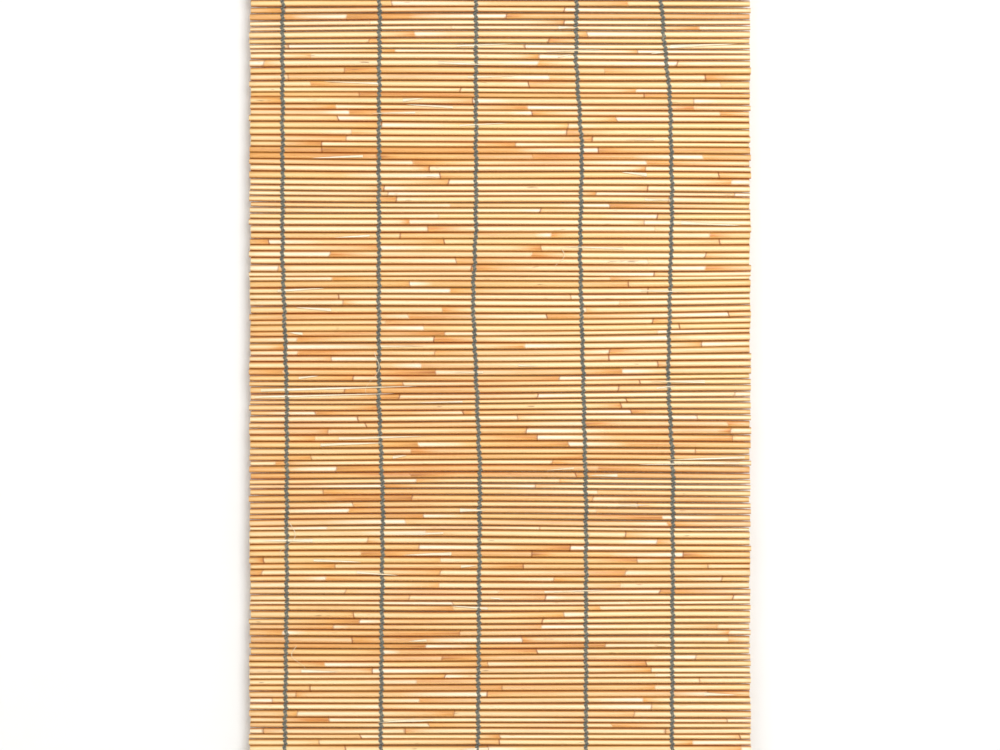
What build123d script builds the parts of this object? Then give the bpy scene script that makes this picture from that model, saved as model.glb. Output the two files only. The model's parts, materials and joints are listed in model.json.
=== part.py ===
"""Reed roll-up blind: a mat of reeds bound by five twines, held in a rebated headrail, with a pole at its foot.

Millimetres. The origin is midway between the two wall-screw holes, on the headrail's back face.
X runs along the reeds, -Y is the room side and +Z is up.
"""

from build123d import *

import math
import os

os.makedirs("parts", exist_ok=True)

# ---------------------------------------------------------------- driving dimensions

blind_width = 450.0  # the headrail, and the reeds' nominal length

reed_diameter = 4.2
reed_bore = 2.6  # a reed is a hollow stem
end_wander = 1.2  # how far hand-trimmed reed ends stray from the blind's edge
collar_rise = 0.25  # of the ring at a stem's own joint, above the stem
collar_width = 3.0
first_collar_span = 230.0  # a stem's first collar falls anywhere in this span
collar_spacing = 205.0  # between two collars of one stem, at the least
collar_spacing_spread = 60.0

twine_thickness = 0.7  # a twine's strand is soft and lies flat on the reeds
twine_width = 1.6
twine_gap = 0.1  # between the two strands where they pass each other
twine_clearance = 0.3  # from a strand to the reed or pole that it goes round
twine_top_x = (-194.0, -107.0, -22.0, 69.0, 150.0)  # at the topmost reed
twine_drift = (3.0, 4.0, 6.0, 6.0, 6.0)  # sideways, from the topmost reed to the pole

clamped_reeds = 3  # held in the headrail
reeds_in_group = (4,) * 15 + (3,) * 27 + (2,) * 6  # between two bends of the mat, from the headrail down

rail_thickness = 20.0
rail_above_holes = 9.0
rail_below_holes = 8.0  # down to the lath's rebate
rail_edge_round = 1.5
lath_thickness = 4.0
lath_edge_round = 1.0
lath_seat = 9.0  # the stretch of the lath that is screwed to the rail
lath_clearance = 0.2  # to the rebate's shoulder
pocket_clearance = 0.15  # from the twines to the rail and to the lath
pocket_headroom = 1.8  # from the topmost reed to the pocket's ceiling

wall_screw_hole = 5.0
wall_screw_spacing = 360.0

lath_screw_shank = 2.4
lath_screw_head = 4.8
lath_screw_countersink = 90.0  # degrees
lath_screw_length = 12.0
lath_screw_clearance = 0.05
lath_screw_spacing = 105.0
lath_screw_count = 5

pole_diameter = 14.0
pole_overhang = 4.0  # beyond the blind's edge, at each end
pole_end_chamfer = 1.2

# ---------------------------------------------------------------- derived places

reed_radius = reed_diameter / 2
collar_radius = reed_radius + collar_rise
wind_radius = reed_radius + twine_clearance + twine_thickness / 2  # of a strand's path round a reed
reed_pitch = 2 * wind_radius  # strands pass each other midway between two reeds

pole_radius = pole_diameter / 2
pole_wind_radius = pole_radius + twine_clearance + twine_thickness / 2

pocket_depth = 2 * (wind_radius + twine_thickness / 2 + pocket_clearance)
lath_back_y = lath_thickness - rail_thickness
pocket_back_y = lath_back_y + pocket_depth
mat_y = lath_back_y + pocket_depth / 2

rebate_top = -rail_below_holes
pocket_top = rebate_top - lath_seat
top_reed_z = pocket_top - pocket_headroom - reed_radius
rail_bottom = top_reed_z - (clamped_reeds - 1) * reed_pitch  # level with the last clamped reed
course_count = clamped_reeds + sum(reeds_in_group)
last_reed_z = top_reed_z - (course_count - 1) * reed_pitch
pole_z = last_reed_z - wind_radius - pole_wind_radius


def share(course, turn):
    """A share from 0 to 1 that hardly repeats from course to course."""
    return (course * turn) % 1


def twine_x(twine, z):
    """Where a twine is along X at a height: it leans a little."""
    return twine_top_x[twine] + twine_drift[twine] * (top_reed_z - z) / (top_reed_z - pole_z)


def reed_ends(course):
    """Where a reed starts and stops along X."""
    left = -blind_width / 2 + end_wander * (2 * share(course, 0.618) - 1)
    right = blind_width / 2 + end_wander * (2 * share(course, 0.414) - 1)
    return left, right


def collar_places(course, z):
    """Where a reed's collars are along X, clear of its ends and of the twines."""
    left, right = reed_ends(course)
    end_room = 2 * collar_width
    twine_room = twine_width + twine_gap + collar_width
    places = []
    x = left + end_room + first_collar_span * share(course, 0.236)
    while x < right - end_room:
        for twine in range(len(twine_top_x)):
            crossing = twine_x(twine, z)
            if abs(x - crossing) < twine_room:
                x = crossing + twine_room
        places.append(x)
        x += collar_spacing + collar_spacing_spread * share(course, 0.732)
    return places


# ---------------------------------------------------------------- reeds


def write_reeds(name, courses):
    """Some neighbouring reeds, each a hollow stem with its collars, turned about its own axis."""
    with BuildPart() as reeds:
        for course in courses:
            z = top_reed_z - course * reed_pitch
            left, right = reed_ends(course)
            with BuildSketch(Plane(origin=(0, mat_y, z), x_dir=(1, 0, 0), z_dir=(0, -1, 0))):
                with BuildLine():
                    start = (left, reed_radius)
                    Line((left, reed_bore / 2), start)
                    for x in collar_places(course, z):
                        foot = (x - collar_width / 2, reed_radius)
                        far_foot = (x + collar_width / 2, reed_radius)
                        Line(start, foot)
                        ThreePointArc(foot, (x, collar_radius), far_foot)
                        start = far_foot
                    Polyline(start, (right, reed_radius), (right, reed_bore / 2), (left, reed_bore / 2))
                make_face()
            revolve(axis=Axis((0, mat_y, z), (1, 0, 0)))
    reeds.part.label = name
    export_step(reeds.part, f"parts/{name}.step")


write_reeds("head_reeds", range(clamped_reeds))
first_course = clamped_reeds
for number, count in enumerate(reeds_in_group, start=1):
    write_reeds(f"reeds_{number:02d}", range(first_course, first_course + count))
    first_course += count

# ---------------------------------------------------------------- twines

# Each twine is two flat strands that pass each reed on opposite sides and change sides after it.
half_thickness = twine_thickness / 2
wound_radii = [wind_radius] * course_count + [pole_wind_radius]
for twine in range(len(twine_top_x)):
    name = f"twine_{twine + 1}"
    top = Vector(twine_x(twine, top_reed_z), mat_y, top_reed_z)
    foot = Vector(twine_x(twine, pole_z), mat_y, pole_z)
    leaning = Plane(origin=top, x_dir=(0, -1, 0), z_dir=Vector(0, -1, 0).cross(top - foot))
    with BuildPart() as strands:
        for side in (-1, 1):
            with BuildSketch(leaning.offset(side * (twine_width + twine_gap) / 2)):
                with BuildLine():
                    for first_edge in (-1, 1):
                        edge = first_edge * half_thickness  # beyond the strand's middle line, or inside it
                        bow = side
                        height = wind_radius
                        for radius in wound_radii:
                            begin = (0, height + edge)
                            middle = (bow * (radius + edge), height - radius)
                            end = (0, height - 2 * radius - edge)
                            ThreePointArc(begin, middle, end)
                            height -= 2 * radius
                            edge = -edge
                            bow = -bow
                    for end_height in (wind_radius, height):
                        Line((0, end_height + half_thickness), (0, end_height - half_thickness))
                make_face()
            extrude(amount=twine_width / 2, both=True)
    strands.part.label = name
    export_step(strands.part, f"parts/{name}.step")

# ---------------------------------------------------------------- headrail

with BuildPart() as headrail:
    with BuildSketch(Plane.YZ.offset(-blind_width / 2)):
        with BuildLine():
            Polyline(
                (0, rail_above_holes),
                (-rail_thickness, rail_above_holes),
                (-rail_thickness, rebate_top),
                (lath_back_y, rebate_top),
                (lath_back_y, pocket_top),
                (pocket_back_y, pocket_top),
                (pocket_back_y, rail_bottom),
                (0, rail_bottom),
                close=True,
            )
        make_face()
    extrude(amount=blind_width)
    long_edges = headrail.edges().filter_by(Axis.X)
    fillet(long_edges.group_by(Axis.Y)[0], radius=rail_edge_round)
    with Locations(Plane(origin=(0, -rail_thickness, 0), x_dir=(1, 0, 0), z_dir=(0, -1, 0))):
        with GridLocations(wall_screw_spacing, 1, 2, 1):
            Hole(radius=wall_screw_hole / 2)
    lath_screw_z = rebate_top - lath_seat / 2
    with Locations(Plane(origin=(0, lath_back_y, lath_screw_z), x_dir=(1, 0, 0), z_dir=(0, -1, 0))):
        with GridLocations(lath_screw_spacing, 1, lath_screw_count, 1):
            pilot_depth = lath_screw_length - lath_thickness + 2 * lath_screw_clearance
            Hole(radius=lath_screw_shank / 2 + lath_screw_clearance, depth=pilot_depth)
headrail.part.label = "headrail"
export_step(headrail.part, "parts/headrail.step")

lath_front = Plane(origin=(0, -rail_thickness, lath_screw_z), x_dir=(1, 0, 0), z_dir=(0, -1, 0))
with BuildPart() as clamping_lath:
    lath_top = rebate_top - lath_clearance
    with BuildSketch(Plane.YZ.offset(-blind_width / 2)):
        with Locations((-rail_thickness + lath_thickness / 2, (lath_top + rail_bottom) / 2)):
            Rectangle(lath_thickness, lath_top - rail_bottom)
    extrude(amount=blind_width)
    fillet(clamping_lath.edges().filter_by(Axis.X).group_by(Axis.Y)[0], radius=lath_edge_round)
    with Locations(lath_front):
        with GridLocations(lath_screw_spacing, 1, lath_screw_count, 1):
            CounterSinkHole(
                radius=lath_screw_shank / 2 + lath_screw_clearance,
                counter_sink_radius=lath_screw_head / 2 + lath_screw_clearance,
                depth=lath_thickness,
                counter_sink_angle=lath_screw_countersink,
            )
clamping_lath.part.label = "clamping_lath"
export_step(clamping_lath.part, "parts/clamping_lath.step")

with BuildPart() as lath_screws:
    head_depth = (lath_screw_head - lath_screw_shank) / 2 / math.tan(math.radians(lath_screw_countersink / 2))
    with Locations(lath_front):
        with GridLocations(lath_screw_spacing, 1, lath_screw_count, 1):
            with Locations((0, 0, -head_depth / 2)):
                Cone(lath_screw_shank / 2, lath_screw_head / 2, head_depth)
            with Locations((0, 0, -(head_depth + lath_screw_length) / 2)):
                Cylinder(lath_screw_shank / 2, lath_screw_length - head_depth)
lath_screws.part.label = "lath_screws"
export_step(lath_screws.part, "parts/lath_screws.step")

# ---------------------------------------------------------------- pole

with BuildPart() as pole:
    with Locations(Plane(origin=(0, mat_y, pole_z), x_dir=(0, 1, 0), z_dir=(1, 0, 0))):
        Cylinder(pole_radius, blind_width + 2 * pole_overhang)
    chamfer(pole.edges().filter_by(GeomType.CIRCLE), length=pole_end_chamfer)
pole.part.label = "pole"
export_step(pole.part, "parts/pole.step")
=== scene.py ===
"""Looks of the reed roll-up blind, on a plain pale wall.

Natural reeds and two-ply twines are made here. The wooden headrail, lath and pole and the
screws are the CAD pieces with materials of this script.
"""

import json
import math
from collections import namedtuple

import bpy
import numpy as np
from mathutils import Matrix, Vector


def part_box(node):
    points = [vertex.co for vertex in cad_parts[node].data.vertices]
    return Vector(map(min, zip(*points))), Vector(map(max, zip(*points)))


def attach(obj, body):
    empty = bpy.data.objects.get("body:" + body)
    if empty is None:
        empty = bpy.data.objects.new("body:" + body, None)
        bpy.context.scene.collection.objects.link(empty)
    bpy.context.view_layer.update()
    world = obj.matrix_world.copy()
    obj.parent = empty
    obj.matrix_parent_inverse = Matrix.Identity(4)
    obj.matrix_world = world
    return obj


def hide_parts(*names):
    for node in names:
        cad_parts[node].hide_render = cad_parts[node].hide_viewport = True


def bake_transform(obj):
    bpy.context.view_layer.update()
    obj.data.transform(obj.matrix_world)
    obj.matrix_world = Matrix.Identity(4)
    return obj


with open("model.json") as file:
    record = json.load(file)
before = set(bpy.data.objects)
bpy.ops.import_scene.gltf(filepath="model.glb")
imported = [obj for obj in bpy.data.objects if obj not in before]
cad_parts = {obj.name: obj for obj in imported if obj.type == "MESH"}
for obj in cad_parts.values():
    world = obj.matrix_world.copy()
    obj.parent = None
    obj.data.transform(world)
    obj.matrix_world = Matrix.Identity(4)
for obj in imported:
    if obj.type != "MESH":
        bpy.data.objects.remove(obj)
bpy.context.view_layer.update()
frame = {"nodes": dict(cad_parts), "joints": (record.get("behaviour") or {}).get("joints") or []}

MM = 0.001
random = np.random.default_rng(167)

# ---------------------------------------------------------------- places read from the frame

REED_PITCH = 5.5 * MM
CLAMPED_REEDS = 3
hinges = [joint["pos_m"] for joint in frame["joints"]]  # from the headrail down, the pole's own hinge last
MAT_Y = hinges[0][1]
TOP_REED_Z = hinges[0][2] + (CLAMPED_REEDS - 1) * REED_PITCH
last_courses = [round((TOP_REED_Z - hinge[2]) / REED_PITCH) for hinge in hinges]  # each hinge is on one reed
COURSES = last_courses[-1] + 1
LINKS = len(hinges) - 1
_, rail_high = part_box("headrail")
pole_low, pole_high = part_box("pole")
POLE_Z = (pole_low.z + pole_high.z) / 2
POLE_RADIUS = (pole_high.z - pole_low.z) / 2
HALF_WIDTH = rail_high.x


def course_z(course):
    return TOP_REED_Z - course * REED_PITCH


# ---------------------------------------------------------------- camera

SHOWN_WIDTH = 0.900  # what the picture's width takes in, at the mat
SHOWN_TOP_Z = -0.045
PICTURE_HEIGHT = 0.75  # of the picture's width
CAMERA_DISTANCE = 3.0
SENSOR = 36.0

camera_data = bpy.data.cameras.new("camera")
camera = bpy.data.objects.new("camera", camera_data)
bpy.context.collection.objects.link(camera)
camera_data.sensor_width = SENSOR
camera_data.lens = SENSOR * CAMERA_DISTANCE / SHOWN_WIDTH
camera.location = (0, MAT_Y - CAMERA_DISTANCE, SHOWN_TOP_Z - SHOWN_WIDTH * PICTURE_HEIGHT / 2)
camera.rotation_euler = (math.radians(90), 0, 0)
bpy.context.scene.camera = camera

# ---------------------------------------------------------------- node helpers

MIX_SOCKETS = (0, 6, 7)  # a Mix node's factor and two colours
MIXED_COLOUR = 2


def new_material(name):
    material = bpy.data.materials.new(name)
    material.use_nodes = True
    tree = material.node_tree
    return material, tree, tree.nodes["Principled BSDF"]


def node(tree, kind, **settings):
    made = tree.nodes.new(kind)
    for key, value in settings.items():
        if key in made.inputs:
            made.inputs[key].default_value = value
        else:
            setattr(made, key, value)
    return made


def attribute(tree, name):
    return node(tree, "ShaderNodeAttribute", attribute_name=name).outputs["Fac"]


def math_node(tree, operation, first, second=0.0, clamp=False):
    made = node(tree, "ShaderNodeMath", operation=operation, use_clamp=clamp)
    for socket, value in zip(made.inputs, (first, second)):
        if isinstance(value, (int, float)):
            socket.default_value = value
        else:
            tree.links.new(value, socket)
    return made.outputs[0]


def mix_colour(tree, factor, first, second, blend="MIX"):
    made = node(tree, "ShaderNodeMix", data_type="RGBA", blend_type=blend)
    for index, value in zip(MIX_SOCKETS, (factor, first, second)):
        socket = made.inputs[index]
        if isinstance(value, (int, float)):
            socket.default_value = value
        elif isinstance(value, tuple):
            socket.default_value = (*value, 1)
        else:
            tree.links.new(value, socket)
    return made.outputs[MIXED_COLOUR]


def remap(tree, value, low, high, to_low=0.0, to_high=1.0):
    made = node(tree, "ShaderNodeMapRange")
    for key, number in (("From Min", low), ("From Max", high), ("To Min", to_low), ("To Max", to_high)):
        made.inputs[key].default_value = number
    tree.links.new(value, made.inputs["Value"])
    return made.outputs[0]


def noise(tree, vector, scale, detail=2.0, roughness=0.5):
    made = node(tree, "ShaderNodeTexNoise", Scale=scale, Detail=detail, Roughness=roughness)
    tree.links.new(vector, made.inputs["Vector"])
    return made.outputs["Fac"]


def stretched(tree, vector, scale):
    made = node(tree, "ShaderNodeVectorMath", operation="MULTIPLY")
    made.inputs[1].default_value = scale
    tree.links.new(vector, made.inputs[0])
    return made.outputs[0]


def bump(tree, shader, height, strength, distance):
    made = node(tree, "ShaderNodeBump", Strength=strength, Distance=distance)
    tree.links.new(height, made.inputs["Height"])
    tree.links.new(made.outputs[0], shader.inputs["Normal"])


# ---------------------------------------------------------------- materials

# Colours, as red, green and blue.
CREAM, PALE_CREAM = (0.90, 0.70, 0.34), (0.96, 0.86, 0.57)
AMBER, RED_AMBER, DEEP_AMBER = (0.87, 0.45, 0.125), (0.64, 0.21, 0.04), (0.42, 0.125, 0.02)
BLEACHED = (0.97, 0.91, 0.74)
TAN_FIBRE = (0.78, 0.50, 0.18)
FLECK = (0.26, 0.12, 0.04)
# The next two lines hold painted shade: a golden and two rusty browns that darken each stem's top and bottom
# sides, where it meets its neighbours.
PAINTED_SIDE_SHADE = (0.80, 0.43, 0.12)
PAINTED_GAP_SHADE, PAINTED_RED_GAP_SHADE = (0.40, 0.15, 0.022), (0.43, 0.085, 0.009)
JOINT_BROWN = (0.32, 0.095, 0.02)
END_BROWN, END_STRAW = (0.40, 0.24, 0.10), (0.82, 0.66, 0.38)
SPLIT_STRAW, SPLIT_WHITE = (0.80, 0.62, 0.32), (0.98, 0.93, 0.78)
TWINE_DARK, TWINE_PALE = (0.15, 0.15, 0.125), (0.26, 0.245, 0.185)
# The second colour on the next line is painted shade, near black, for the grooves between a strand's two
# plies.
TWINE_LINT, TWINE_GROOVE_SHADE = (0.40, 0.41, 0.35), (0.025, 0.026, 0.02)
RAIL_PALE, RAIL_DARK = (0.66, 0.45, 0.22), (0.50, 0.29, 0.12)
POLE_PALE, POLE_DARK = (0.68, 0.47, 0.24), (0.52, 0.31, 0.13)
ZINC_DARK, ZINC_PALE = (0.42, 0.41, 0.38), (0.66, 0.65, 0.62)
PLASTER_DARK, PLASTER_PALE = (0.86, 0.86, 0.85), (0.90, 0.90, 0.89)
FLOOR_DARK, FLOOR_PALE = (0.80, 0.79, 0.77), (0.84, 0.83, 0.81)
PORE_SHADE = 0.55  # of the dark wood's colour


def reed_material():
    """Cream to amber skin with fine fibres, and painted shade towards the top and bottom of each stem, where
    it meets its neighbours: golden, then rusty brown.
    """
    material, tree, shader = new_material("reed_skin")
    place = node(tree, "ShaderNodeTexCoord").outputs["Object"]
    amber, bleached, ring = attribute(tree, "amber"), attribute(tree, "bleached"), attribute(tree, "ring")
    flank, tone = attribute(tree, "flank"), attribute(tree, "tone")
    fibres = noise(tree, stretched(tree, place, (18, 1500, 1500)), 1.0, 3.0)
    streaks = noise(tree, stretched(tree, place, (9, 260, 260)), 1.0, 3.0)
    blotches = noise(tree, stretched(tree, place, (45, 330, 330)), 1.0, 2.0)

    cream = mix_colour(tree, tone, CREAM, PALE_CREAM)
    warm = mix_colour(tree, remap(tree, streaks, 0.35, 0.7), AMBER, RED_AMBER)
    much = math_node(tree, "ADD", amber, remap(tree, streaks, 0.3, 0.75, -0.24, 0.24))
    colour = mix_colour(tree, remap(tree, much, 0.0, 1.0), cream, warm)
    colour = mix_colour(tree, remap(tree, much, 0.95, 1.7, 0.0, 0.85), colour, DEEP_AMBER)
    colour = mix_colour(tree, bleached, colour, BLEACHED)
    colour = mix_colour(tree, remap(tree, fibres, 0.45, 0.8, 0.0, 0.35), colour, TAN_FIBRE)
    fleck = remap(tree, blotches, 0.70, 0.76, 0.0, 0.7)
    colour = mix_colour(tree, fleck, colour, FLECK)
    # Painted shade: golden, then rusty brown, towards the stem's top and bottom sides.
    colour = mix_colour(tree, remap(tree, flank, 0.1, 0.7, 0.0, 0.74), colour, PAINTED_SIDE_SHADE)
    painted_gap_colour = mix_colour(tree, remap(tree, streaks, 0.4, 0.65), PAINTED_GAP_SHADE, PAINTED_RED_GAP_SHADE)
    colour = mix_colour(tree, remap(tree, flank, 0.5, 0.95, 0.0, 1.0), colour, painted_gap_colour)
    colour = mix_colour(tree, ring, colour, JOINT_BROWN)
    tree.links.new(colour, shader.inputs["Base Color"])
    tree.links.new(remap(tree, fibres, 0.3, 0.8, 0.30, 0.5), shader.inputs["Roughness"])
    shader.inputs["Coat Weight"].default_value = 0.2
    shader.inputs["Coat Roughness"].default_value = 0.25
    bump(tree, shader, fibres, 0.25, 0.00012)
    return material


def reed_end_material():
    material, tree, shader = new_material("reed_end_grain")
    place = node(tree, "ShaderNodeTexCoord").outputs["Object"]
    grain = noise(tree, place, 2600.0, 3.0)
    colour = mix_colour(tree, grain, END_BROWN, END_STRAW)
    tree.links.new(colour, shader.inputs["Base Color"])
    shader.inputs["Roughness"].default_value = 0.85
    bump(tree, shader, grain, 0.5, 0.0003)
    return material


def splinter_material():
    material, tree, shader = new_material("split_reed")
    place = node(tree, "ShaderNodeTexCoord").outputs["Object"]
    fibres = noise(tree, stretched(tree, place, (25, 1800, 1800)), 1.0, 3.0)
    colour = mix_colour(tree, remap(tree, fibres, 0.3, 0.7), SPLIT_STRAW, SPLIT_WHITE)
    tree.links.new(colour, shader.inputs["Base Color"])
    shader.inputs["Roughness"].default_value = 0.6
    bump(tree, shader, fibres, 0.5, 0.0002)
    return material


def twine_material():
    material, tree, shader = new_material("two_ply_twine")
    along, ply = attribute(tree, "along"), attribute(tree, "ply")
    combined = node(tree, "ShaderNodeCombineXYZ")
    tree.links.new(along, combined.inputs[0])
    tree.links.new(ply, combined.inputs[1])
    lint = noise(tree, stretched(tree, combined.outputs[0], (900, 3, 1)), 1.0, 3.0)
    shade = noise(tree, stretched(tree, combined.outputs[0], (60, 1, 1)), 1.0, 2.0)
    colour = mix_colour(tree, remap(tree, shade, 0.35, 0.65), TWINE_DARK, TWINE_PALE)
    colour = mix_colour(tree, remap(tree, lint, 0.5, 0.8, 0.0, 0.8), colour, TWINE_LINT)
    # Painted shade in the grooves between the two plies, masked by the ply attribute.
    colour = mix_colour(tree, math_node(tree, "MULTIPLY", ply, 0.7), colour, TWINE_GROOVE_SHADE)
    tree.links.new(colour, shader.inputs["Base Color"])
    shader.inputs["Roughness"].default_value = 0.85
    shader.inputs["Sheen Weight"].default_value = 0.25
    bump(tree, shader, lint, 0.6, 0.0002)
    return material


def wood_material(name, light, dark, ring_scale):
    material, tree, shader = new_material(name)
    place = node(tree, "ShaderNodeTexCoord").outputs["Object"]
    bend = noise(tree, stretched(tree, place, (2.2, 14, 14)), 1.0, 2.0)
    across = stretched(tree, place, (1.2, ring_scale, ring_scale))
    bent = node(tree, "ShaderNodeVectorMath", operation="ADD")
    tree.links.new(across, bent.inputs[0])
    tree.links.new(bend, bent.inputs[1])
    rings = node(tree, "ShaderNodeTexWave", wave_type="RINGS", rings_direction="X", Scale=1.4, Distortion=3.0)
    rings.inputs["Detail"].default_value = 3.0
    tree.links.new(bent.outputs[0], rings.inputs["Vector"])
    pores = noise(tree, stretched(tree, place, (60, 1800, 1800)), 1.0, 3.0)
    colour = mix_colour(tree, rings.outputs["Fac"], dark, light)
    deep = tuple(PORE_SHADE * channel for channel in dark)
    colour = mix_colour(tree, remap(tree, pores, 0.5, 0.8, 0.0, 0.6), colour, deep)
    tree.links.new(colour, shader.inputs["Base Color"])
    tree.links.new(remap(tree, pores, 0.3, 0.8, 0.42, 0.62), shader.inputs["Roughness"])
    bump(tree, shader, pores, 0.3, 0.0003)
    return material


def screw_material():
    material, tree, shader = new_material("zinc_plated_steel")
    place = node(tree, "ShaderNodeTexCoord").outputs["Object"]
    scratches = noise(tree, stretched(tree, place, (900, 900, 4000)), 1.0, 4.0)
    tree.links.new(mix_colour(tree, scratches, ZINC_DARK, ZINC_PALE), shader.inputs["Base Color"])
    shader.inputs["Metallic"].default_value = 1.0
    tree.links.new(remap(tree, scratches, 0.3, 0.7, 0.25, 0.45), shader.inputs["Roughness"])
    bump(tree, shader, scratches, 0.2, 0.0001)
    return material


REED = reed_material()
REED_END = reed_end_material()
SPLINTER = splinter_material()
TWINE = twine_material()
RAIL_WOOD = wood_material("rail_wood", RAIL_PALE, RAIL_DARK, 34)
POLE_WOOD = wood_material("pole_wood", POLE_PALE, POLE_DARK, 60)
SCREW = screw_material()

# ---------------------------------------------------------------- mesh helper


class Mesh:
    """Collects strips of a surface, then makes one object of them."""

    def __init__(self, names):
        self.points, self.faces, self.slots = [], [], []
        self.values = {name: [] for name in names}
        self.count = 0

    def grid(self, points, slot=0, **values):
        """Rows of points, each closed on itself and joined to the next by quads."""
        rows, columns = points.shape[:2]
        index = np.arange(rows * columns).reshape(rows, columns) + self.count
        after = np.roll(index, -1, axis=1)
        quads = np.stack([index[:-1], after[:-1], after[1:], index[1:]], axis=-1).reshape(-1, 4)
        self.points.append(points.reshape(-1, 3))
        self.faces.append(quads)
        self.slots.append(np.full(len(quads), slot))
        for name, kept in self.values.items():
            kept.append(np.broadcast_to(values.get(name, 0.0), (rows, columns)).reshape(-1))
        self.count += rows * columns

    def make(self, name, materials):
        points, quads = np.concatenate(self.points), np.concatenate(self.faces)
        mesh = bpy.data.meshes.new(name)
        mesh.vertices.add(len(points))
        mesh.vertices.foreach_set("co", points.astype(np.float32).ravel())
        mesh.loops.add(quads.size)
        mesh.loops.foreach_set("vertex_index", quads.astype(np.int32).ravel())
        mesh.polygons.add(len(quads))
        mesh.polygons.foreach_set("loop_start", np.arange(0, quads.size, 4, dtype=np.int32))
        mesh.polygons.foreach_set("material_index", np.concatenate(self.slots).astype(np.int32))
        mesh.polygons.foreach_set("use_smooth", np.ones(len(quads), dtype=bool))
        for key, kept in self.values.items():
            made = mesh.attributes.new(key, "FLOAT", "POINT")
            made.data.foreach_set("value", np.concatenate(kept).astype(np.float32))
        for material in materials:
            mesh.materials.append(material)
        mesh.update(calc_edges=True)
        mesh.validate()
        piece = bpy.data.objects.new(name, mesh)
        bpy.context.collection.objects.link(piece)
        return piece


def bell(x, centre, width):
    return np.exp(-(((x - centre) / width) ** 2))


# ---------------------------------------------------------------- reeds

REED_RADIUS = 2.62 * MM
CLAMPED_RADIUS = 2.1 * MM  # of the reeds held straight beneath the headrail
BORE_RADIUS = 1.3 * MM
BORE_DEPTH = 5 * MM
AROUND = 16
STATION_SPACING = 7.5 * MM
JOINT_BLUR = 1.6 * MM  # over which the skin's colour changes at a joint
WANDER = 1.7 * MM  # of whole bands of the mat, up and down
CALM_COURSE = 118  # from here down the mat lies straighter
CALMING_COURSES = 12  # over which it gets so
CALMED_BY = 0.6
LOOSENING_COURSES = 6  # beneath the headrail, over which the straying starts
SETTLING_COURSES = 17  # over more courses than these, the mat keeps its even pitch
HELD_COURSES = 4  # at either end of the mat, over which the uneven lie fades out
WIDEST_GAP = 0.5  # mm, by which neighbours' spacing varies beyond their thickness
REED_SPREAD = 0.15  # of the stems' thickness, about the usual one
THINNEST, THICKEST = 0.68, 1.18  # shares of the usual thickness
MOST_TAPER = 0.11
CURL = 0.12 * MM
DEPTH_SPREAD = 0.16 * MM  # towards the room and back
END_STRAY = 1.0  # mm, longer or shorter at each end

# What the stems' joints are drawn from. Distances are in mm.
STAINS, STAIN_SHARES = [0.0, 0.12, 0.35, 0.8], [0.44, 0.28, 0.19, 0.09]
JOINT_SLANT = (0.2, 1.3)  # how far a joint's edge leans along the stem
FIRST_JOINT = (8, 190)  # from the left end
JOINT_SPACING = (120, 260)
JOINT_FROM_END = 8  # the least distance
AMBER_STRENGTH, AMBER_REACH = (0.1, 1.2), (12, 90)
BLEACHES, BLEACH_SHARES, BLEACH_REACH = [0.1, 0.45, 0.9], [0.4, 0.3, 0.3], (15, 90)
RINGS = [0.25, 0.65, 1.0]
JOINT_SWELLS = [  # the rise, place and width of each swell or waist at a joint
    (0.10, -1.2, 2.6), (0.16, 0, 0.55), (-0.16, 1.1, 0.45), (0.07, 3.0, 2.0),
]

# Stations along a stem: close together at a joint, and kept off its two ends.
JOINT_CLEAR = 4.5 * MM  # the evenly spaced stations keep this far from a joint
END_CLEAR = 1.5 * MM
END_BEVEL = 0.3 * MM
END_ROUNDING = 0.25 * MM
JOINT_STATIONS = np.array([-3.5, -1.6, -0.8, -0.35, 0, 0.35, 0.75, 1.1, 1.5, 2.2, 4.0]) * MM

angles = np.arange(AROUND) * 2 * np.pi / AROUND
wave_phases = random.uniform(0, 2 * np.pi, 6)  # the last two are spare

Joint = namedtuple("Joint", "x strength reach bleach bleach_reach ring")

# Bands where the stems are more amber: middle course, half height in courses,
# amount, and middle along the width, as a share of its half.
amber_bands = [
    (30, 3, 0.2, -0.6), (48, 3, 0.4, -0.1), (58, 4, 0.35, -0.8), (67, 4, 0.6, -0.5), (77, 3, 0.5, 0.3),
    (86, 3, 0.4, -0.5), (95, 5, 0.4, 0.3), (109, 5, 0.6, -0.4), (117, 3, 0.4, 0.1), (134, 6, 0.4, 0.4),
]
BAND_HALF_LENGTH = 0.7  # of half the blind's width
AMBER_LEAN = -0.08  # added at the right edge, and taken away at the left


def band_amber(course, x):
    amount = AMBER_LEAN * x / HALF_WIDTH
    for middle, half_height, much, place in amber_bands:
        along = bell(x / HALF_WIDTH, place, BAND_HALF_LENGTH)
        amount = amount + much * bell(course, middle, half_height) * along
    return amount


def wave(course, phase, length, height, shift=0.0):
    """A slow wave down the mat, with as many courses to a radian as its length says."""
    return np.sin(course / length + wave_phases[phase] + shift) * height


def band_wander(course, x):
    """How far neighbouring reeds stray together from level, at x."""
    fade = 1 - CALMED_BY * np.clip((course - CALM_COURSE + CALMING_COURSES) / CALMING_COURSES, 0, 1)
    fade = fade * np.clip((course - CLAMPED_REEDS) / LOOSENING_COURSES, 0, 1)
    share = x / HALF_WIDTH
    tilt = wave(course, 0, length=8.5, height=0.45) + wave(course, 1, length=19.0, height=0.35)
    bow = wave(course, 2, length=12.0, height=0.35)
    ripple = wave(course, 3, length=6.3, height=0.22, shift=3.1 * share)
    return WANDER * fade * (tilt * share + bow * (share**2 - 0.35) + ripple)


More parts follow.
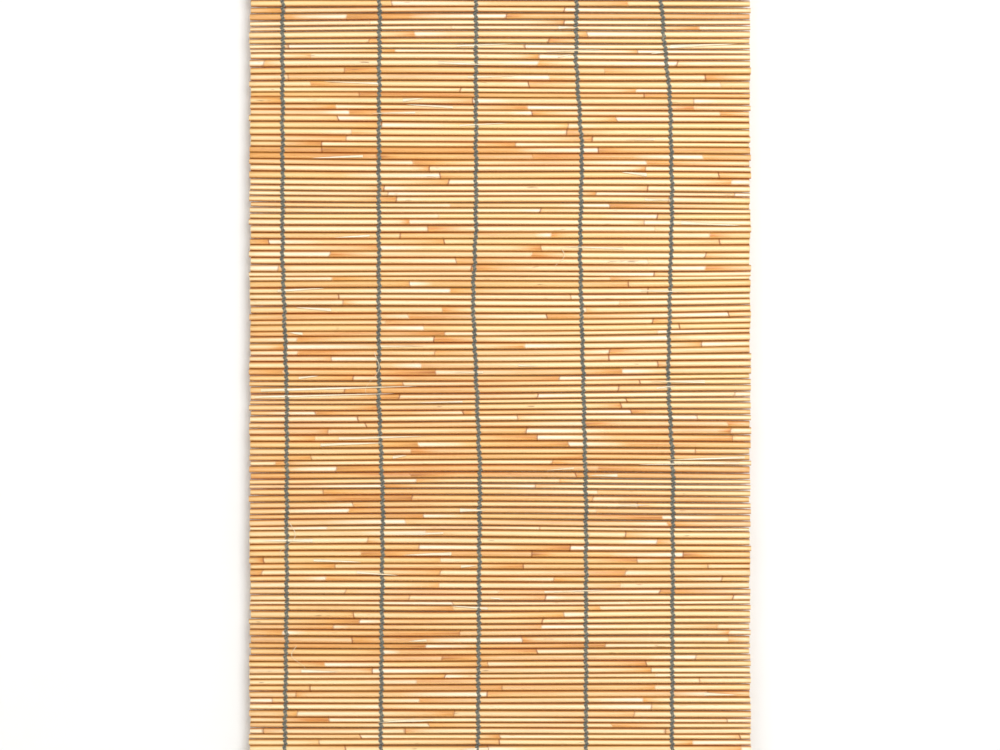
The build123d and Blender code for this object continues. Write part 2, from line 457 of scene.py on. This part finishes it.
class Reed:
    """One stem: its line, its thickness and its joints."""

    def __init__(self, course):
        self.course = course
        self.clamped = course < CLAMPED_REEDS
        grown = REED_RADIUS * np.clip(random.normal(1.0, REED_SPREAD), THINNEST, THICKEST)
        self.radius = CLAMPED_RADIUS if self.clamped else grown
        self.taper = random.uniform(-MOST_TAPER, MOST_TAPER)
        self.lifts = []  # at the left end, the middle and the right end
        self.curl = random.normal(0, CURL)
        self.curl_phase = random.uniform(0, 2 * np.pi)
        self.out = random.normal(0, DEPTH_SPREAD)
        self.slant = random.uniform(*JOINT_SLANT) * MM
        self.slant_phase = random.uniform(0, 2 * np.pi)
        self.left = -HALF_WIDTH + random.uniform(-END_STRAY, END_STRAY) * MM
        self.right = HALF_WIDTH + random.uniform(-END_STRAY, END_STRAY) * MM
        self.tone = random.uniform(0, 1)
        self.stain = random.choice(STAINS, p=STAIN_SHARES)
        self.grows = random.choice([-1, 1])  # the way the stem grew
        self.joints = []
        x = self.left + random.uniform(*FIRST_JOINT) * MM
        while x < self.right - JOINT_FROM_END * MM:
            self.joints.append(Joint(
                x=x,
                strength=random.uniform(*AMBER_STRENGTH),
                reach=random.uniform(*AMBER_REACH) * MM,
                bleach=random.choice(BLEACHES, p=BLEACH_SHARES),
                bleach_reach=random.uniform(*BLEACH_REACH) * MM,
                ring=random.choice(RINGS),
            ))
            x += random.uniform(*JOINT_SPACING) * MM

    def height(self, x):
        share = x / HALF_WIDTH
        left, middle, right = self.lifts
        own = middle + share * (right - left) / 2 + share**2 * ((left + right) / 2 - middle)
        if not self.clamped:
            own = own + self.curl * np.sin(4.0 * share + self.curl_phase)
        return course_z(self.course) + own + band_wander(self.course, x)

    def depth(self, x):
        bowing = 0.15 * MM * np.sin(3.0 * x / HALF_WIDTH + self.curl_phase)
        return MAT_Y + (0.3 if self.clamped else 1.0) * (self.out + bowing)

    def thickness(self, x):
        radius = self.radius * (1 + self.taper * x / HALF_WIDTH)
        for joint in self.joints:
            side = (x - joint.x) * self.grows
            for rise, place, width in JOINT_SWELLS:
                radius = radius + rise * MM * bell(side, place * MM, width * MM)
        return radius

    def stations(self):
        """Places along the stem, close together at its joints and ends."""
        x = np.arange(self.left, self.right, STATION_SPACING)
        for joint in self.joints:
            x = np.concatenate([x[np.abs(x - joint.x) > JOINT_CLEAR], joint.x + JOINT_STATIONS])
        x = np.sort(x[(x > self.left + END_CLEAR) & (x < self.right - END_CLEAR)])
        left_end, right_end = [self.left, self.left + END_BEVEL], [self.right - END_BEVEL, self.right]
        return np.concatenate([left_end, x, right_end])

    def colours(self, x):
        """How amber, how bleached and how ringed the skin is: amber before a joint, and paler after it."""
        amber = self.stain + band_amber(self.course, x)
        bleached, ring = np.zeros_like(x), np.zeros_like(x)
        for joint in self.joints:
            side = (x - joint.x) * self.grows
            before, after = np.clip(-side / joint.reach, 0, 1), np.clip(side / joint.bleach_reach, 0, 1)
            past = np.clip(0.5 + side / JOINT_BLUR, 0, 1)
            amber = amber + joint.strength * (1 - before) ** 1.6 * (1 - past)
            bleached = np.maximum(bleached, joint.bleach * (1 - after) ** 0.7 * past)
            ring = np.maximum(ring, joint.ring * bell(x, joint.x, 0.65 * MM))
        return amber * (1 - 0.9 * bleached), bleached, ring

    def add_to(self, mesh):
        x = self.stations()
        z, y, radius = self.height(x), self.depth(x), self.thickness(x)
        radius[[0, -1]] -= END_ROUNDING
        skin = np.stack([np.repeat(x[:, None], AROUND, axis=1), y[:, None] + radius[:, None] * np.cos(angles),
                         z[:, None] + radius[:, None] * np.sin(angles)], axis=-1)
        amber, bleached, ring = self.colours(x[:, None] + self.slant * np.sin(angles + self.slant_phase))
        # The flank value is 0 at the front and back of the stem and 1 at its top and bottom, and masks the
        # painted shade there.
        mesh.grid(skin, amber=amber, bleached=bleached, ring=ring, tone=self.tone,
                  flank=np.abs(np.sin(angles))[None, :])
        for end, inward in ((0, 1), (-1, -1)):
            cap = np.stack([
                np.stack([np.full(AROUND, x[end] + inward * depth), y[end] + size * np.cos(angles),
                          z[end] + size * np.sin(angles)], axis=-1)
                for size, depth in ((radius[end], 0), (BORE_RADIUS, 0), (BORE_RADIUS * 0.95, BORE_DEPTH),
                                    (0.01 * MM, BORE_DEPTH))])
            mesh.grid(cap if inward < 0 else cap[:, ::-1], slot=1)


def settle(reeds):
    """Spaces the stems by their thickness, while the mat as a whole keeps its pitch.

    The pitch is too close for the thickest stems, so many neighbours run into each other a
    little, by up to about 0.7 mm.
    """
    window = np.hanning(SETTLING_COURSES + 2)[1:-1]
    free = np.clip((np.arange(COURSES) - CLAMPED_REEDS + 1) / HELD_COURSES, 0, 1)
    free = free * np.clip((COURSES - 1 - np.arange(COURSES)) / HELD_COURSES, 0, 1)
    for share in (-1, 0, 1):
        radii = np.array([reed.radius * (1 + reed.taper * share) for reed in reeds])
        gaps = random.uniform(0.0, WIDEST_GAP, COURSES - 1) * MM
        room = radii[:-1] + radii[1:] + gaps
        stray = -np.concatenate([[0], np.cumsum(room - room.mean())])
        padded = np.pad(stray, SETTLING_COURSES // 2, mode="edge")
        even = np.convolve(padded, window / window.sum(), mode="valid")
        for reed, lift in zip(reeds, (stray - even) * free):
            reed.lifts.append(lift)


reeds = [Reed(course) for course in range(COURSES)]
settle(reeds)


SPLINTER_STATIONS = 9
# The section of a sliver: how high in its half width, and how far out in mm.
SPLINTER_SECTION = ((-1, 0.0), (-0.5, -0.22), (0.5, -0.22), (1, 0.0), (0, 0.12))
SPLINTER_LIFT = 0.8 * MM  # of its point off the stem
FIBRE_STATIONS = 24
FIBRE_SECTION = 5
FIBRE_RADIUS = 0.32 * MM
FIBRE_LIFT = 1.6 * MM


def add_splinter(mesh, reed, x, length, width, rise, stand=0.15 * MM):
    """A sliver that has split from a stem and stands a little off it, tapering to a point."""
    if abs(x + length) > HALF_WIDTH:
        length = -length
    steps = np.linspace(0, 1, SPLINTER_STATIONS)
    along = x + length * steps
    centre_z = reed.height(along) + rise * steps
    front = reed.depth(along) - reed.thickness(along) - stand - SPLINTER_LIFT * steps
    half = width / 2 * (1 - steps) ** 0.7 + 0.05 * MM
    rows = []
    for up, out in SPLINTER_SECTION:
        rows.append(np.stack([along, front + out * MM, centre_z + half * up], axis=-1))
    mesh.grid(np.stack(rows, axis=1), slot=2)


def add_fibre(mesh, reed, x, height, swing):
    """A loose curl of fibre that hangs in front of the mat."""
    steps = np.linspace(0, 1, FIBRE_STATIONS)
    around = np.arange(FIBRE_SECTION) * 2 * np.pi / FIBRE_SECTION
    line_x = x + swing * np.sin(5.2 * steps) * (0.4 + steps)
    line_y = reed.depth(x) - reed.thickness(x) - 0.5 * MM - FIBRE_LIFT * np.sin(np.pi * steps)
    line_z = reed.height(x) - height * steps
    thick = FIBRE_RADIUS * (1 - 0.6 * steps)
    mesh.grid(np.stack([line_x[:, None] + thick[:, None] * np.cos(around),
                        line_y[:, None] + thick[:, None] * np.sin(around),
                        np.repeat(line_z[:, None], FIBRE_SECTION, axis=1)], axis=-1), slot=2)


# Slivers by course, drawn at random.
RANDOM_SPLINTERS = 56
splintered = np.arange(8, COURSES - 6)  # the courses that they may be on
splinters = {course: [] for course in range(COURSES)}
for course in random.choice(splintered, RANDOM_SPLINTERS, replace=False):
    x = random.uniform(-0.2, 0.19)
    length = random.choice([-1, 1]) * random.uniform(0.012, 0.06)
    width = random.uniform(1.6, 3.2) * MM
    rise = random.uniform(-2.6, 2.6) * MM
    splinters[int(course)].append((x, length, width, rise))

# The larger ones, listed: course, place and length in metres, width and rise in mm.
split_stems = [
    (12, 0.1530, 0.0600, 3.2, 2.4), (13, 0.1480, -0.0120, 2.0, -1.8), (68, -0.2150, 0.1400, 2.6, 3.6),
    (69, -0.2200, 0.1250, 2.2, 3.0), (76, -0.1450, 0.0800, 2.6, 1.8), (79, 0.2200, -0.0700, 2.2, -2.6),
    (80, 0.2150, -0.0900, 1.8, -2.0), (52, -0.2000, 0.0420, 2.4, 2.2), (101, 0.0400, 0.0550, 2.0, 1.8),
    (122, -0.0600, -0.0500, 2.0, -2.0),
]
for course, x, length, width, rise in split_stems:
    splinters[course].append((x, length, width * MM, rise * MM))
# Loose fibres by course, listed: place, height and swing in metres.
fibres = {
    62: (-0.1130, 0.036, 0.006),
    90: (-0.1890, 0.030, 0.007),
    110: (-0.1830, 0.022, -0.006),
    45: (0.0550, 0.018, 0.004),
}
SPLICE_COURSE = 10  # the fifth twine is spliced here, with pale ends of fibre standing out
SPLICE_X = 0.1465
SPLICE_ENDS = (-1.2, -0.3, 0.7, 1.5)  # mm along X from the splice

groups = [("head_reeds", "root", range(CLAMPED_REEDS))]
for link in range(1, LINKS + 1):
    courses = range(last_courses[link - 1] + 1, last_courses[link] + 1)
    groups.append((f"reeds_{link:02d}", f"link_{link:02d}", courses))
for cad_node, body, courses in groups:
    mesh = Mesh(["amber", "bleached", "ring", "flank", "tone"])
    for course in courses:
        reeds[course].add_to(mesh)
        for sliver in splinters[course]:
            add_splinter(mesh, reeds[course], *sliver)
        if course in fibres:
            add_fibre(mesh, reeds[course], *fibres[course])
        if course == SPLICE_COURSE:
            for shift in SPLICE_ENDS:
                add_splinter(mesh, reeds[course], SPLICE_X + shift * MM, -shift * MM,
                             width=0.9 * MM, rise=-6 * MM, stand=1.3 * MM)
    piece = mesh.make(f"natural_{cad_node}", [REED, REED_END, SPLINTER])
    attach(piece, body)
    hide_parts(cad_node)

# ---------------------------------------------------------------- twines

STRAND_SECTION = 8
STRAND_STEPS = 10  # stations round one reed
STRAND_HALF_WIDTH = 1.75 * MM
STRAND_HALF_THICKNESS = 0.45 * MM
STRAND_SWING = 0.85 * MM  # each strand slants by this much either side of the twine's line
TURNS_PER_REED = 1.5  # of one strand's two plies
KNOT_SIZE = 0.9 * MM
KNOT_DROP = 2.2 * MM  # from the pole to the knot's middle
KNOT_STATIONS = 40
TAIL_LENGTH = 9.0 * MM
TAIL_STATIONS = 10

# Each twine's line: heights, and the places along X there, in metres.
twine_lines = [
    ([0, -0.28, -0.34, -0.405, -0.585, -0.72],
     [-0.1955, -0.1955, -0.1935, -0.1917, -0.1917, -0.1935]),
    ([0, -0.18, -0.405, -0.495, -0.72],
     [-0.1080, -0.1089, -0.1089, -0.1053, -0.1071]),
    ([0, -0.1, -0.25, -0.315, -0.468, -0.72],
     [-0.0216, -0.0216, -0.0216, -0.0243, -0.0180, -0.0198]),
    ([0, -0.1, -0.18, -0.27, -0.378, -0.495, -0.72],
     [0.0693, 0.0684, 0.0738, 0.0720, 0.0747, 0.0774, 0.0774]),
    ([0, -0.045, -0.081, -0.135, -0.225, -0.387, -0.468, -0.72],
     [0.1440, 0.1449, 0.1476, 0.1530, 0.1548, 0.1512, 0.1557, 0.1548]),
]
WOBBLE = 0.35 * MM
WOBBLES = 210  # in 2 pi metres of a twine


def twine_x(twine, z):
    heights, places = twine_lines[twine]
    wobble = WOBBLE * np.sin(z * WOBBLES + twine * 2.1)
    return np.interp(-z, -np.array(heights), places) + wobble


def crossings(twine):
    """Heights at which the strands pass each other: above each reed, and below the last and the pole."""
    x = [float(twine_x(twine, course_z(course))) for course in range(COURSES)]
    z = [float(reeds[course].height(x[course])) for course in range(COURSES)]
    r = [float(reeds[course].thickness(x[course])) for course in range(COURSES)]
    heights = [z[0] + r[0] + STRAND_HALF_THICKNESS]
    for above in range(COURSES - 1):
        heights.append((z[above] - r[above] + z[above + 1] + r[above + 1]) / 2)
    heights.append((z[-1] - r[-1] + POLE_Z + POLE_RADIUS) / 2)
    heights.append(POLE_Z - POLE_RADIUS - STRAND_HALF_THICKNESS)
    return heights


heights_of = [crossings(twine) for twine in range(len(twine_lines))]


def strand_points(twine, strand, course):
    """The middle line of a strand round one reed, or round the pole, which counts as the next course."""
    high, low = heights_of[twine][course], heights_of[twine][course + 1]
    middle_x = float(twine_x(twine, (high + low) / 2))
    if course < COURSES:
        centre_y = float(reeds[course].depth(middle_x))
        radius = float(reeds[course].thickness(middle_x)) + STRAND_HALF_THICKNESS + 0.02 * MM
    else:
        centre_y, radius = MAT_Y, POLE_RADIUS + STRAND_HALF_THICKNESS + 0.05 * MM
    front = -1 if (course + strand) % 2 else 1
    turn = np.linspace(0, np.pi, STRAND_STEPS + 1)
    z = (high + low) / 2 + (high - low) / 2 * np.cos(turn)
    y = centre_y - front * radius * np.sin(turn)
    x = twine_x(twine, z) - front * STRAND_SWING * np.cos(turn)
    return np.stack([x, y, z], axis=-1)


def strand_line(twine, strand, courses):
    """A strand's middle line past several courses, and how far along the twine each point is, in reeds."""
    lines, along = [], []
    for course in courses:
        line = strand_points(twine, strand, course)
        share = course + np.linspace(0, 1, STRAND_STEPS + 1)
        keep = slice(0, None) if course == courses[0] else slice(1, None)
        lines.append(line[keep])
        along.append(share[keep])
    return np.concatenate(lines), np.concatenate(along)


def add_strand(mesh, line, along):
    """A two-ply strand along a line: a two-lobed section that turns as it goes."""
    tangent = np.gradient(line, axis=0)
    tangent /= np.linalg.norm(tangent, axis=1)[:, None]
    level = np.array([1.0, 0, 0]) - tangent * tangent[:, :1]
    level /= np.linalg.norm(level, axis=1)[:, None]
    outward = np.cross(tangent, level)
    around = np.arange(STRAND_SECTION) * 2 * np.pi / STRAND_SECTION
    twist = along * TURNS_PER_REED * 2 * np.pi
    lobe = 0.88 + 0.2 * np.cos(2 * (around[None, :] - twist[:, None]))
    across = STRAND_HALF_WIDTH * np.cos(around)[None, :] * lobe
    through = STRAND_HALF_THICKNESS * np.sin(around)[None, :] * lobe
    points = line[:, None] + level[:, None] * across[..., None] + outward[:, None] * through[..., None]
    # How deep each point lies in the groove between the plies. The ply attribute carries it, to mask painted
    # shade there.
    painted_groove_shade = np.clip((0.98 - lobe) / 0.3, 0, 1)
    mesh.grid(points, along=along[:, None] * REED_PITCH, ply=painted_groove_shade)


def add_knot(mesh, x, z):
    """The strands' ends, knotted beneath the pole: a trefoil and two loose ends."""
    turn = np.linspace(0, 2 * np.pi, KNOT_STATIONS)
    size = KNOT_SIZE
    knot = np.stack([x + size * (np.sin(turn) + 2 * np.sin(2 * turn)) * 0.6,
                     MAT_Y + size * -np.sin(3 * turn) * 0.9,
                     z + size * (np.cos(turn) - 2 * np.cos(2 * turn)) * 0.6], axis=-1)
    add_strand(mesh, knot, turn / 3)
    for side in (-1, 1):
        share = np.linspace(0, 1, TAIL_STATIONS)
        tail = np.stack([x + side * (0.6 + 2.2 * share) * MM,
                         MAT_Y + side * 0.8 * MM * np.sin(share * 3),
                         z - TAIL_LENGTH * share], axis=-1)
        add_strand(mesh, tail, share * 2)


twine_nodes = [f"twine_{twine + 1}" for twine in range(len(twine_lines))]
for bend in range(LINKS + 1):
    first = 0 if bend == 0 else last_courses[bend]
    beyond = last_courses[bend + 1] if bend < LINKS else COURSES + 1
    mesh = Mesh(["along", "ply"])
    for twine in range(len(twine_lines)):
        for strand in (0, 1):
            add_strand(mesh, *strand_line(twine, strand, range(first, beyond)))
        if bend == LINKS:
            add_knot(mesh, float(twine_x(twine, POLE_Z)), POLE_Z - POLE_RADIUS - KNOT_DROP)
    piece = mesh.make(f"twines_at_bend_{bend + 1:02d}", [TWINE])
    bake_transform(piece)
    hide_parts(*twine_nodes)

# ---------------------------------------------------------------- headrail, lath, screws and pole

material_of = {
    "headrail": RAIL_WOOD,
    "clamping_lath": RAIL_WOOD,
    "lath_screws": SCREW,
    "pole": POLE_WOOD,
}
for cad_node, material in material_of.items():
    kept = frame["nodes"][cad_node]
    for slot in kept.material_slots:
        slot.link = "OBJECT"
        slot.material = material

# ---------------------------------------------------------------- wall, floor and light


def plane(name, corners, material):
    mesh = bpy.data.meshes.new(name)
    mesh.from_pydata(corners, [], [(0, 1, 2, 3)])
    mesh.materials.append(material)
    made = bpy.data.objects.new(name, mesh)
    bpy.context.collection.objects.link(made)
    return made


def plaster_material():
    """Plain pale plaster, clear from behind and to light.

    So the blind's back can be seen and is lit.
    """
    material, tree, shader = new_material("pale_plaster")
    place = node(tree, "ShaderNodeTexCoord").outputs["Object"]
    mottle = noise(tree, place, 9.0, 3.0)
    tree.links.new(mix_colour(tree, mottle, PLASTER_DARK, PLASTER_PALE), shader.inputs["Base Color"])
    shader.inputs["Roughness"].default_value = 0.9
    behind = node(tree, "ShaderNodeNewGeometry").outputs["Backfacing"]
    light_passes = node(tree, "ShaderNodeLightPath").outputs["Is Shadow Ray"]
    clear, choice = node(tree, "ShaderNodeBsdfTransparent"), node(tree, "ShaderNodeMixShader")
    tree.links.new(math_node(tree, "MAXIMUM", behind, light_passes), choice.inputs[0])
    tree.links.new(shader.outputs[0], choice.inputs[1])
    tree.links.new(clear.outputs[0], choice.inputs[2])
    tree.links.new(choice.outputs[0], tree.nodes["Material Output"].inputs["Surface"])
    return material


def floor_material():
    material, tree, shader = new_material("pale_floor")
    place = node(tree, "ShaderNodeTexCoord").outputs["Object"]
    mottle = noise(tree, place, 6.0, 3.0)
    tree.links.new(mix_colour(tree, mottle, FLOOR_DARK, FLOOR_PALE), shader.inputs["Base Color"])
    shader.inputs["Roughness"].default_value = 0.7
    return material


STAGE = 4.0
FLOOR_Z = -1.15
WALL_Y = 0.002
wall_corners = [
    (-STAGE, WALL_Y, FLOOR_Z), (STAGE, WALL_Y, FLOOR_Z), (STAGE, WALL_Y, STAGE), (-STAGE, WALL_Y, STAGE),
]
floor_corners = [
    (-STAGE, -STAGE, FLOOR_Z), (STAGE, -STAGE, FLOOR_Z), (STAGE, STAGE, FLOOR_Z), (-STAGE, STAGE, FLOOR_Z),
]
plane("wall", wall_corners, plaster_material())
plane("floor", floor_corners, floor_material())


def area_light(name, place, target, size, power):
    data = bpy.data.lights.new(name, "AREA")
    data.size, data.energy = size, power
    made = bpy.data.objects.new(name, data)
    made.location = place
    made.rotation_euler = (Vector(target) - Vector(place)).to_track_quat("-Z", "Y").to_euler()
    bpy.context.collection.objects.link(made)


middle = (0, 0, SHOWN_TOP_Z - 0.34)  # of what the picture shows, about
area_light("key", (0.7, -2.4, 0.7), middle, 1.4, 51)
area_light("fill", (-1.6, -2.2, -0.2), middle, 1.6, 10)
area_light("behind", (0.5, 1.8, 0.6), middle, 1.5, 12)

world = bpy.data.worlds.new("studio")
bpy.context.scene.world = world
world.use_nodes = True
background = world.node_tree.nodes["Background"]
background.inputs["Color"].default_value = (1, 1, 1, 1)
background.inputs["Strength"].default_value = 0.42
bpy.context.scene.view_settings.view_transform = "Standard"
